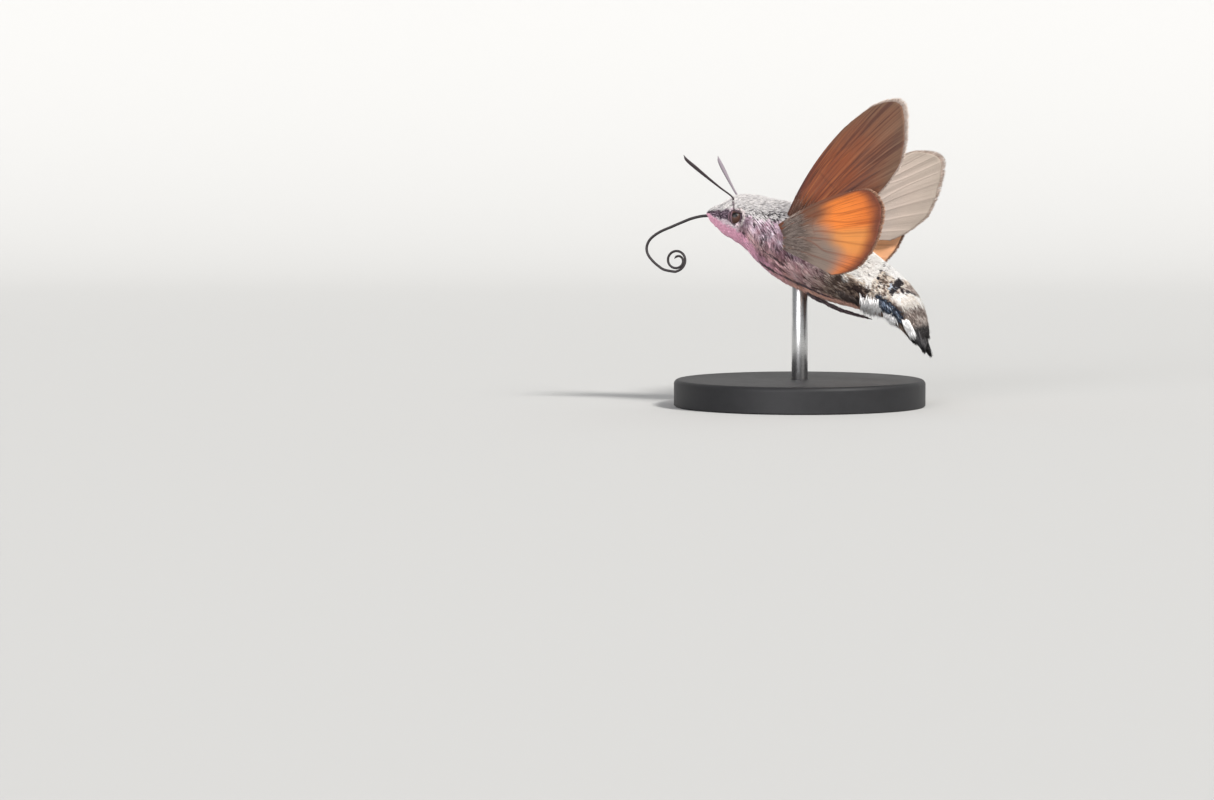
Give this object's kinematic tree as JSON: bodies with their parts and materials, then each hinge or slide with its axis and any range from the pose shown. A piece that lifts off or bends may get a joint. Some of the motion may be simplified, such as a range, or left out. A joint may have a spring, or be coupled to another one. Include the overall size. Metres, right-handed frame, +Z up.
{
  "type": "hummingbird hawk moth display model",
  "caption": "Life-size hummingbird hawk moth hovering with raised wings, coiled tongue and spread tail brush, held by a rod on a round base.",
  "frame": {"origin": "centre of the flat underside of the stand's round base, where the part rests", "axes": "+Z up, the moth heads along -X, its left side is -Y"},
  "size_m": [0.0334, 0.0334, 0.0345],
  "materials": {
    "pile": "matt hair-like scales, grey above, pinkish white below",
    "tail_scales": "matt black-brown long scales with white sides",
    "forewing": "matt scales, rust brown below, grey-brown with dark lines above",
    "hindwing": "matt orange scales with a brown border",
    "antenna": "dark, finely ringed, a pale line in front",
    "tongue": "smooth dark horn, satin",
    "leg": "dark brown, finely scaled",
    "eye": "dark brown, glossy, finely faceted",
    "stand_base": "satin black",
    "stand_rod": "brushed"
  },
  "bodies": {
    "root": {"eye_left": "eye", "palp_left": "pile", "eye_right": "eye", "palp_right": "pile", "head": "pile", "antenna_left": "antenna", "antenna_right": "antenna", "tongue_base": "tongue", "tongue_bend": "tongue", "tongue_coil": "tongue", "thorax": "pile", "forewing_left": "forewing", "hindwing_left": "hindwing", "forewing_right": "forewing", "hindwing_right": "hindwing", "leg_front_left": "leg", "leg_middle_left": "leg", "leg_hind_left": "leg", "leg_front_right": "leg", "leg_middle_right": "leg", "leg_hind_right": "leg", "abdomen": "pile", "tail_brush": "tail_scales", "stand_base": "stand_base", "stand_rod": "stand_rod"}
  },
  "joints": []
}
